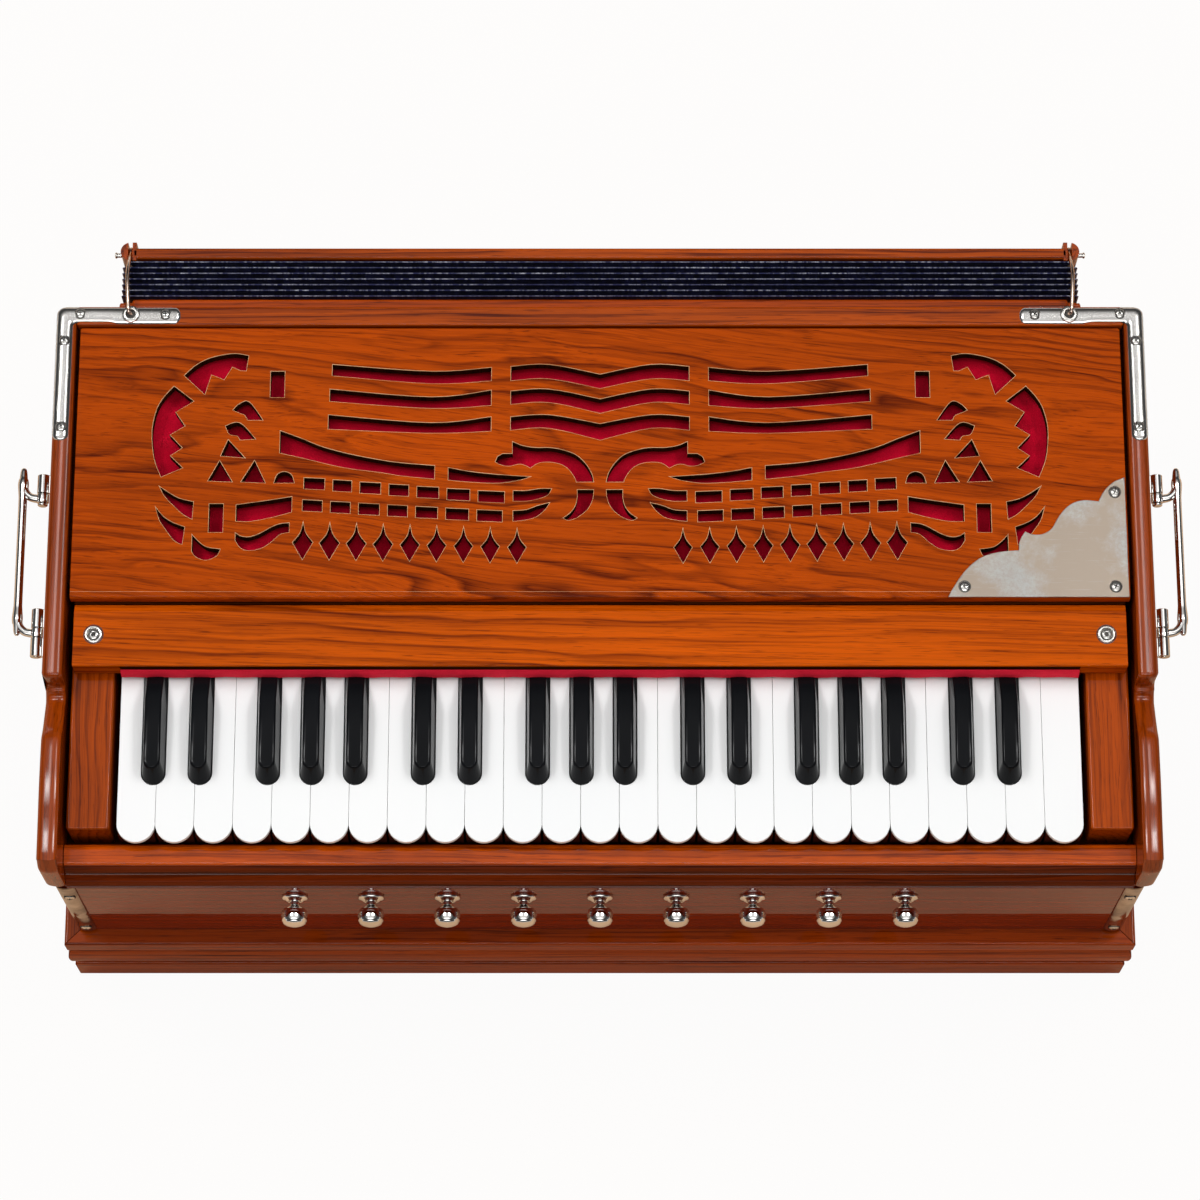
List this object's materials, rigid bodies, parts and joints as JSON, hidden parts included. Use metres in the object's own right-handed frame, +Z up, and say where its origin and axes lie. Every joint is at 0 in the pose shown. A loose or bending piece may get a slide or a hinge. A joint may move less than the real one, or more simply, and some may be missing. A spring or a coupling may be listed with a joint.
{
  "type": "indian harmonium",
  "caption": "Portable hand-pumped reed organ: wooden case with a fretted top panel, keyboard, pull stops, folding rear bellows with hooks and carrying handles.",
  "frame": {"origin": "middle of the base, on the surface that the case stands on", "axes": "+X along the keyboard to the player's right, +Y from the player to the bellows, +Z up"},
  "size_m": [0.6954, 0.3892, 0.2635],
  "materials": {
    "case_wood": "gloss lacquer",
    "panel_wood": "gloss lacquer",
    "bellows_cloth": "satin",
    "white_plate": "gloss",
    "black_cap": "gloss",
    "bright_metal": "polished"
  },
  "bodies": {
    "case": {"case": "case_wood", "fret_panel": "panel_wood", "name_rail": "panel_wood", "bellows_folds": "bellows_cloth"},
    "bellows_board": {"bellows_board": "case_wood"},
    "natural_01": {"natural_01": "white_plate"},
    "natural_02": {"natural_02": "white_plate"},
    "natural_03": {"natural_03": "white_plate"},
    "natural_04": {"natural_04": "white_plate"},
    "natural_05": {"natural_05": "white_plate"},
    "natural_06": {"natural_06": "white_plate"},
    "natural_07": {"natural_07": "white_plate"},
    "natural_08": {"natural_08": "white_plate"},
    "natural_09": {"natural_09": "white_plate"},
    "natural_10": {"natural_10": "white_plate"},
    "natural_11": {"natural_11": "white_plate"},
    "natural_12": {"natural_12": "white_plate"},
    "natural_13": {"natural_13": "white_plate"},
    "natural_14": {"natural_14": "white_plate"},
    "natural_15": {"natural_15": "white_plate"},
    "natural_16": {"natural_16": "white_plate"},
    "natural_17": {"natural_17": "white_plate"},
    "natural_18": {"natural_18": "white_plate"},
    "natural_19": {"natural_19": "white_plate"},
    "natural_20": {"natural_20": "white_plate"},
    "natural_21": {"natural_21": "white_plate"},
    "natural_22": {"natural_22": "white_plate"},
    "natural_23": {"natural_23": "white_plate"},
    "natural_24": {"natural_24": "white_plate"},
    "natural_25": {"natural_25": "white_plate"},
    "sharp_01": {"sharp_01": "black_cap"},
    "sharp_02": {"sharp_02": "black_cap"},
    "sharp_03": {"sharp_03": "black_cap"},
    "sharp_04": {"sharp_04": "black_cap"},
    "sharp_05": {"sharp_05": "black_cap"},
    "sharp_06": {"sharp_06": "black_cap"},
    "sharp_07": {"sharp_07": "black_cap"},
    "sharp_08": {"sharp_08": "black_cap"},
    "sharp_09": {"sharp_09": "black_cap"},
    "sharp_10": {"sharp_10": "black_cap"},
    "sharp_11": {"sharp_11": "black_cap"},
    "sharp_12": {"sharp_12": "black_cap"},
    "sharp_13": {"sharp_13": "black_cap"},
    "sharp_14": {"sharp_14": "black_cap"},
    "sharp_15": {"sharp_15": "black_cap"},
    "sharp_16": {"sharp_16": "black_cap"},
    "sharp_17": {"sharp_17": "black_cap"},
    "stop_1": {"stop_1": "bright_metal"},
    "stop_2": {"stop_2": "bright_metal"},
    "stop_3": {"stop_3": "bright_metal"},
    "stop_4": {"stop_4": "bright_metal"},
    "stop_5": {"stop_5": "bright_metal"},
    "stop_6": {"stop_6": "bright_metal"},
    "stop_7": {"stop_7": "bright_metal"},
    "stop_8": {"stop_8": "bright_metal"},
    "stop_9": {"stop_9": "bright_metal"},
    "hook_left": {"hook_left": "bright_metal"},
    "hook_right": {"hook_right": "bright_metal"},
    "handle_left": {"handle_left": "bright_metal"},
    "handle_right": {"handle_right": "bright_metal"}
  },
  "joints": [
    {"name": "natural_01_press", "type": "hinge", "parent": "case", "child": "natural_01", "pos_m": [0, -0.02237, 0.212], "axis": [1, 0, 0], "range_deg": [0, 3.2], "stiffness_Nm_per_rad": 0.7, "springref_deg": -5.73},
    {"name": "natural_02_press", "type": "hinge", "parent": "case", "child": "natural_02", "pos_m": [0, -0.02237, 0.212], "axis": [1, 0, 0], "range_deg": [0, 3.2], "stiffness_Nm_per_rad": 0.7, "springref_deg": -5.73},
    {"name": "natural_03_press", "type": "hinge", "parent": "case", "child": "natural_03", "pos_m": [0, -0.02237, 0.212], "axis": [1, 0, 0], "range_deg": [0, 3.2], "stiffness_Nm_per_rad": 0.7, "springref_deg": -5.73},
    {"name": "natural_04_press", "type": "hinge", "parent": "case", "child": "natural_04", "pos_m": [0, -0.02237, 0.212], "axis": [1, 0, 0], "range_deg": [0, 3.2], "stiffness_Nm_per_rad": 0.7, "springref_deg": -5.73},
    {"name": "natural_05_press", "type": "hinge", "parent": "case", "child": "natural_05", "pos_m": [0, -0.02237, 0.212], "axis": [1, 0, 0], "range_deg": [0, 3.2], "stiffness_Nm_per_rad": 0.7, "springref_deg": -5.73},
    {"name": "natural_06_press", "type": "hinge", "parent": "case", "child": "natural_06", "pos_m": [0, -0.02237, 0.212], "axis": [1, 0, 0], "range_deg": [0, 3.2], "stiffness_Nm_per_rad": 0.7, "springref_deg": -5.73},
    {"name": "natural_07_press", "type": "hinge", "parent": "case", "child": "natural_07", "pos_m": [0, -0.02237, 0.212], "axis": [1, 0, 0], "range_deg": [0, 3.2], "stiffness_Nm_per_rad": 0.7, "springref_deg": -5.73},
    {"name": "natural_08_press", "type": "hinge", "parent": "case", "child": "natural_08", "pos_m": [0, -0.02237, 0.212], "axis": [1, 0, 0], "range_deg": [0, 3.2], "stiffness_Nm_per_rad": 0.7, "springref_deg": -5.73},
    {"name": "natural_09_press", "type": "hinge", "parent": "case", "child": "natural_09", "pos_m": [0, -0.02237, 0.212], "axis": [1, 0, 0], "range_deg": [0, 3.2], "stiffness_Nm_per_rad": 0.7, "springref_deg": -5.73},
    {"name": "natural_10_press", "type": "hinge", "parent": "case", "child": "natural_10", "pos_m": [0, -0.02237, 0.212], "axis": [1, 0, 0], "range_deg": [0, 3.2], "stiffness_Nm_per_rad": 0.7, "springref_deg": -5.73},
    {"name": "natural_11_press", "type": "hinge", "parent": "case", "child": "natural_11", "pos_m": [0, -0.02237, 0.212], "axis": [1, 0, 0], "range_deg": [0, 3.2], "stiffness_Nm_per_rad": 0.7, "springref_deg": -5.73},
    {"name": "natural_12_press", "type": "hinge", "parent": "case", "child": "natural_12", "pos_m": [0, -0.02237, 0.212], "axis": [1, 0, 0], "range_deg": [0, 3.2], "stiffness_Nm_per_rad": 0.7, "springref_deg": -5.73},
    {"name": "natural_13_press", "type": "hinge", "parent": "case", "child": "natural_13", "pos_m": [0, -0.02237, 0.212], "axis": [1, 0, 0], "range_deg": [0, 3.2], "stiffness_Nm_per_rad": 0.7, "springref_deg": -5.73},
    {"name": "natural_14_press", "type": "hinge", "parent": "case", "child": "natural_14", "pos_m": [0, -0.02237, 0.212], "axis": [1, 0, 0], "range_deg": [0, 3.2], "stiffness_Nm_per_rad": 0.7, "springref_deg": -5.73},
    {"name": "natural_15_press", "type": "hinge", "parent": "case", "child": "natural_15", "pos_m": [0, -0.02237, 0.212], "axis": [1, 0, 0], "range_deg": [0, 3.2], "stiffness_Nm_per_rad": 0.7, "springref_deg": -5.73},
    {"name": "natural_16_press", "type": "hinge", "parent": "case", "child": "natural_16", "pos_m": [0, -0.02237, 0.212], "axis": [1, 0, 0], "range_deg": [0, 3.2], "stiffness_Nm_per_rad": 0.7, "springref_deg": -5.73},
    {"name": "natural_17_press", "type": "hinge", "parent": "case", "child": "natural_17", "pos_m": [0, -0.02237, 0.212], "axis": [1, 0, 0], "range_deg": [0, 3.2], "stiffness_Nm_per_rad": 0.7, "springref_deg": -5.73},
    {"name": "natural_18_press", "type": "hinge", "parent": "case", "child": "natural_18", "pos_m": [0, -0.02237, 0.212], "axis": [1, 0, 0], "range_deg": [0, 3.2], "stiffness_Nm_per_rad": 0.7, "springref_deg": -5.73},
    {"name": "natural_19_press", "type": "hinge", "parent": "case", "child": "natural_19", "pos_m": [0, -0.02237, 0.212], "axis": [1, 0, 0], "range_deg": [0, 3.2], "stiffness_Nm_per_rad": 0.7, "springref_deg": -5.73},
    {"name": "natural_20_press", "type": "hinge", "parent": "case", "child": "natural_20", "pos_m": [0, -0.02237, 0.212], "axis": [1, 0, 0], "range_deg": [0, 3.2], "stiffness_Nm_per_rad": 0.7, "springref_deg": -5.73},
    {"name": "natural_21_press", "type": "hinge", "parent": "case", "child": "natural_21", "pos_m": [0, -0.02237, 0.212], "axis": [1, 0, 0], "range_deg": [0, 3.2], "stiffness_Nm_per_rad": 0.7, "springref_deg": -5.73},
    {"name": "natural_22_press", "type": "hinge", "parent": "case", "child": "natural_22", "pos_m": [0, -0.02237, 0.212], "axis": [1, 0, 0], "range_deg": [0, 3.2], "stiffness_Nm_per_rad": 0.7, "springref_deg": -5.73},
    {"name": "natural_23_press", "type": "hinge", "parent": "case", "child": "natural_23", "pos_m": [0, -0.02237, 0.212], "axis": [1, 0, 0], "range_deg": [0, 3.2], "stiffness_Nm_per_rad": 0.7, "springref_deg": -5.73},
    {"name": "natural_24_press", "type": "hinge", "parent": "case", "child": "natural_24", "pos_m": [0, -0.02237, 0.212], "axis": [1, 0, 0], "range_deg": [0, 3.2], "stiffness_Nm_per_rad": 0.7, "springref_deg": -5.73},
    {"name": "natural_25_press", "type": "hinge", "parent": "case", "child": "natural_25", "pos_m": [0, -0.02237, 0.212], "axis": [1, 0, 0], "range_deg": [0, 3.2], "stiffness_Nm_per_rad": 0.7, "springref_deg": -5.73},
    {"name": "sharp_01_press", "type": "hinge", "parent": "case", "child": "sharp_01", "pos_m": [0, -0.02237, 0.212], "axis": [1, 0, 0], "range_deg": [0, 3.2], "stiffness_Nm_per_rad": 0.7, "springref_deg": -5.73},
    {"name": "sharp_02_press", "type": "hinge", "parent": "case", "child": "sharp_02", "pos_m": [0, -0.02237, 0.212], "axis": [1, 0, 0], "range_deg": [0, 3.2], "stiffness_Nm_per_rad": 0.7, "springref_deg": -5.73},
    {"name": "sharp_03_press", "type": "hinge", "parent": "case", "child": "sharp_03", "pos_m": [0, -0.02237, 0.212], "axis": [1, 0, 0], "range_deg": [0, 3.2], "stiffness_Nm_per_rad": 0.7, "springref_deg": -5.73},
    {"name": "sharp_04_press", "type": "hinge", "parent": "case", "child": "sharp_04", "pos_m": [0, -0.02237, 0.212], "axis": [1, 0, 0], "range_deg": [0, 3.2], "stiffness_Nm_per_rad": 0.7, "springref_deg": -5.73},
    {"name": "sharp_05_press", "type": "hinge", "parent": "case", "child": "sharp_05", "pos_m": [0, -0.02237, 0.212], "axis": [1, 0, 0], "range_deg": [0, 3.2], "stiffness_Nm_per_rad": 0.7, "springref_deg": -5.73},
    {"name": "sharp_06_press", "type": "hinge", "parent": "case", "child": "sharp_06", "pos_m": [0, -0.02237, 0.212], "axis": [1, 0, 0], "range_deg": [0, 3.2], "stiffness_Nm_per_rad": 0.7, "springref_deg": -5.73},
    {"name": "sharp_07_press", "type": "hinge", "parent": "case", "child": "sharp_07", "pos_m": [0, -0.02237, 0.212], "axis": [1, 0, 0], "range_deg": [0, 3.2], "stiffness_Nm_per_rad": 0.7, "springref_deg": -5.73},
    {"name": "sharp_08_press", "type": "hinge", "parent": "case", "child": "sharp_08", "pos_m": [0, -0.02237, 0.212], "axis": [1, 0, 0], "range_deg": [0, 3.2], "stiffness_Nm_per_rad": 0.7, "springref_deg": -5.73},
    {"name": "sharp_09_press", "type": "hinge", "parent": "case", "child": "sharp_09", "pos_m": [0, -0.02237, 0.212], "axis": [1, 0, 0], "range_deg": [0, 3.2], "stiffness_Nm_per_rad": 0.7, "springref_deg": -5.73},
    {"name": "sharp_10_press", "type": "hinge", "parent": "case", "child": "sharp_10", "pos_m": [0, -0.02237, 0.212], "axis": [1, 0, 0], "range_deg": [0, 3.2], "stiffness_Nm_per_rad": 0.7, "springref_deg": -5.73},
    {"name": "sharp_11_press", "type": "hinge", "parent": "case", "child": "sharp_11", "pos_m": [0, -0.02237, 0.212], "axis": [1, 0, 0], "range_deg": [0, 3.2], "stiffness_Nm_per_rad": 0.7, "springref_deg": -5.73},
    {"name": "sharp_12_press", "type": "hinge", "parent": "case", "child": "sharp_12", "pos_m": [0, -0.02237, 0.212], "axis": [1, 0, 0], "range_deg": [0, 3.2], "stiffness_Nm_per_rad": 0.7, "springref_deg": -5.73},
    {"name": "sharp_13_press", "type": "hinge", "parent": "case", "child": "sharp_13", "pos_m": [0, -0.02237, 0.212], "axis": [1, 0, 0], "range_deg": [0, 3.2], "stiffness_Nm_per_rad": 0.7, "springref_deg": -5.73},
    {"name": "sharp_14_press", "type": "hinge", "parent": "case", "child": "sharp_14", "pos_m": [0, -0.02237, 0.212], "axis": [1, 0, 0], "range_deg": [0, 3.2], "stiffness_Nm_per_rad": 0.7, "springref_deg": -5.73},
    {"name": "sharp_15_press", "type": "hinge", "parent": "case", "child": "sharp_15", "pos_m": [0, -0.02237, 0.212], "axis": [1, 0, 0], "range_deg": [0, 3.2], "stiffness_Nm_per_rad": 0.7, "springref_deg": -5.73},
    {"name": "sharp_16_press", "type": "hinge", "parent": "case", "child": "sharp_16", "pos_m": [0, -0.02237, 0.212], "axis": [1, 0, 0], "range_deg": [0, 3.2], "stiffness_Nm_per_rad": 0.7, "springref_deg": -5.73},
    {"name": "sharp_17_press", "type": "hinge", "parent": "case", "child": "sharp_17", "pos_m": [0, -0.02237, 0.212], "axis": [1, 0, 0], "range_deg": [0, 3.2], "stiffness_Nm_per_rad": 0.7, "springref_deg": -5.73},
    {"name": "stop_1_pull", "type": "slide", "parent": "case", "child": "stop_1", "axis": [0, -1, 0], "range_m": [0, 0.015]},
    {"name": "stop_2_pull", "type": "slide", "parent": "case", "child": "stop_2", "axis": [0, -1, 0], "range_m": [0, 0.015]},
    {"name": "stop_3_pull", "type": "slide", "parent": "case", "child": "stop_3", "axis": [0, -1, 0], "range_m": [0, 0.015]},
    {"name": "stop_4_pull", "type": "slide", "parent": "case", "child": "stop_4", "axis": [0, -1, 0], "range_m": [0, 0.015]},
    {"name": "stop_5_pull", "type": "slide", "parent": "case", "child": "stop_5", "axis": [0, -1, 0], "range_m": [0, 0.015]},
    {"name": "stop_6_pull", "type": "slide", "parent": "case", "child": "stop_6", "axis": [0, -1, 0], "range_m": [0, 0.015]},
    {"name": "stop_7_pull", "type": "slide", "parent": "case", "child": "stop_7", "axis": [0, -1, 0], "range_m": [0, 0.015]},
    {"name": "stop_8_pull", "type": "slide", "parent": "case", "child": "stop_8", "axis": [0, -1, 0], "range_m": [0, 0.015]},
    {"name": "stop_9_pull", "type": "slide", "parent": "case", "child": "stop_9", "axis": [0, -1, 0], "range_m": [0, 0.015]},
    {"name": "bellows_open", "type": "hinge", "parent": "case", "child": "bellows_board", "pos_m": [0, 0.18457, 0.092], "axis": [-1, 0, 0], "range_deg": [0, 25], "deforming": ["bellows_folds"]},
    {"name": "hook_left_swing", "type": "hinge", "parent": "bellows_board", "child": "hook_left", "pos_m": [-0.2743, 0.18898, 0.2466], "axis": [-1, 0, 0], "range_deg": [0, 120]},
    {"name": "hook_right_swing", "type": "hinge", "parent": "bellows_board", "child": "hook_right", "pos_m": [0.2743, 0.18898, 0.2466], "axis": [-1, 0, 0], "range_deg": [0, 120]},
    {"name": "handle_left_swing", "type": "hinge", "parent": "case", "child": "handle_left", "pos_m": [-0.3325, 0.03518, 0.16], "axis": [0, -1, 0], "range_deg": [0, 85]},
    {"name": "handle_right_swing", "type": "hinge", "parent": "case", "child": "handle_right", "pos_m": [0.3325, 0.03518, 0.16], "axis": [0, 1, 0], "range_deg": [0, 85]}
  ]
}
